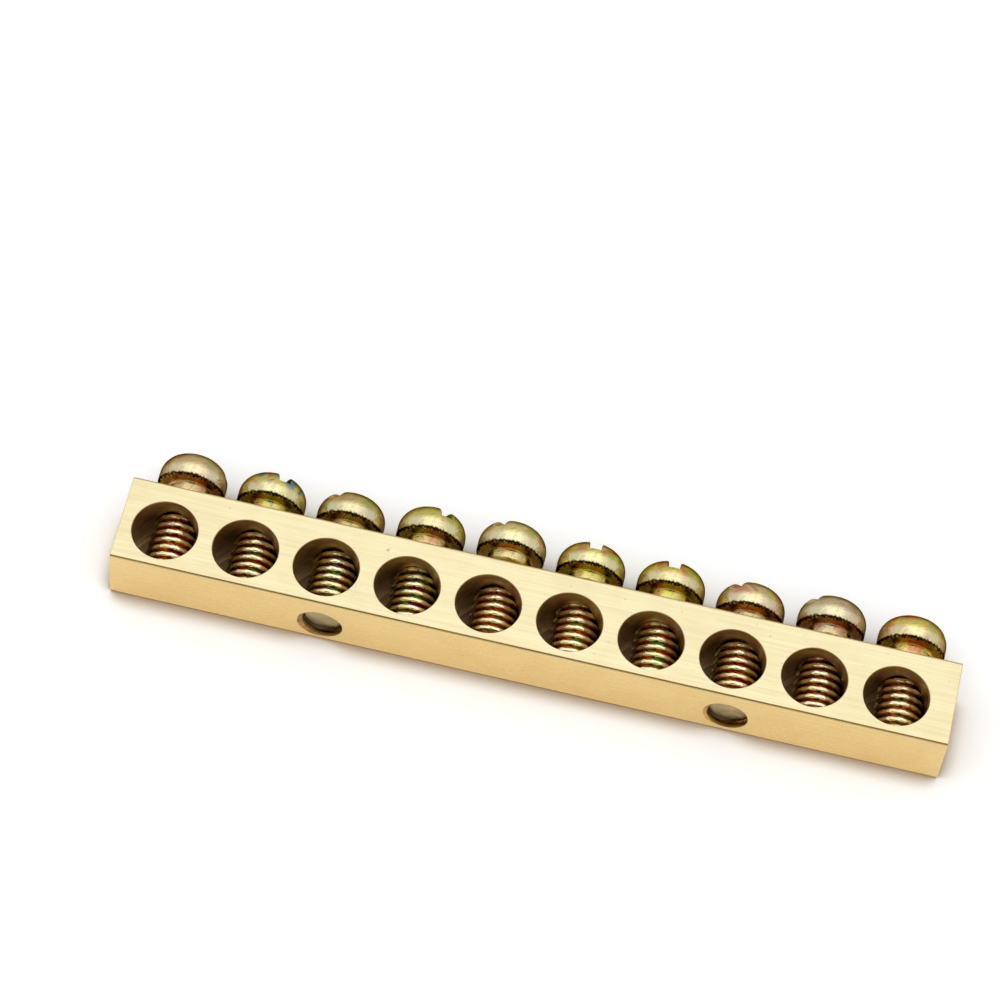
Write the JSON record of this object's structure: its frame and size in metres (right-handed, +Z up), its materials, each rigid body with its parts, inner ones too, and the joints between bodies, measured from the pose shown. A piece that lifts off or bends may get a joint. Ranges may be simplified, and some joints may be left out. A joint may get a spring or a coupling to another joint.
{
  "type": "earth terminal bar",
  "caption": "Brass earth terminal bar with a row of round wire ways, each with a slotted clamping screw, and tapped mounting holes.",
  "frame": {"origin": "middle of the bar's base face", "axes": "+X along the bar towards its longer end margin, +Y out of the face that the screws enter, +Z up along the wire ways"},
  "size_m": [0.0666, 0.0123, 0.006],
  "materials": {
    "brass": "drawn, fine brushed",
    "yellow_zinc": "zinc plated, yellow passivated"
  },
  "bodies": {
    "bar": {"brass_bar": "brass"},
    "screw_01": {"terminal_screw_01": "yellow_zinc"},
    "screw_02": {"terminal_screw_02": "yellow_zinc"},
    "screw_03": {"terminal_screw_03": "yellow_zinc"},
    "screw_04": {"terminal_screw_04": "yellow_zinc"},
    "screw_05": {"terminal_screw_05": "yellow_zinc"},
    "screw_06": {"terminal_screw_06": "yellow_zinc"},
    "screw_07": {"terminal_screw_07": "yellow_zinc"},
    "screw_08": {"terminal_screw_08": "yellow_zinc"},
    "screw_09": {"terminal_screw_09": "yellow_zinc"},
    "screw_10": {"terminal_screw_10": "yellow_zinc"}
  },
  "joints": [
    {"name": "screw_01_travel", "type": "slide", "parent": "bar", "child": "screw_01", "axis": [0, 1, 0], "range_m": [-0.00035, 0.005]},
    {"name": "screw_02_travel", "type": "slide", "parent": "bar", "child": "screw_02", "axis": [0, 1, 0], "range_m": [-0.00025, 0.0051]},
    {"name": "screw_03_travel", "type": "slide", "parent": "bar", "child": "screw_03", "axis": [0, 1, 0], "range_m": [-0.00005, 0.0053]},
    {"name": "screw_04_travel", "type": "slide", "parent": "bar", "child": "screw_04", "axis": [0, 1, 0], "range_m": [-0.0004, 0.00495]},
    {"name": "screw_05_travel", "type": "slide", "parent": "bar", "child": "screw_05", "axis": [0, 1, 0], "range_m": [-0.00075, 0.0046]},
    {"name": "screw_06_travel", "type": "slide", "parent": "bar", "child": "screw_06", "axis": [0, 1, 0], "range_m": [-0.00045, 0.0049]},
    {"name": "screw_07_travel", "type": "slide", "parent": "bar", "child": "screw_07", "axis": [0, 1, 0], "range_m": [-0.00035, 0.005]},
    {"name": "screw_08_travel", "type": "slide", "parent": "bar", "child": "screw_08", "axis": [0, 1, 0], "range_m": [-0.00005, 0.0053]},
    {"name": "screw_09_travel", "type": "slide", "parent": "bar", "child": "screw_09", "axis": [0, 1, 0], "range_m": [-0.0005, 0.00485]},
    {"name": "screw_10_travel", "type": "slide", "parent": "bar", "child": "screw_10", "axis": [0, 1, 0], "range_m": [-0.00035, 0.005]}
  ]
}
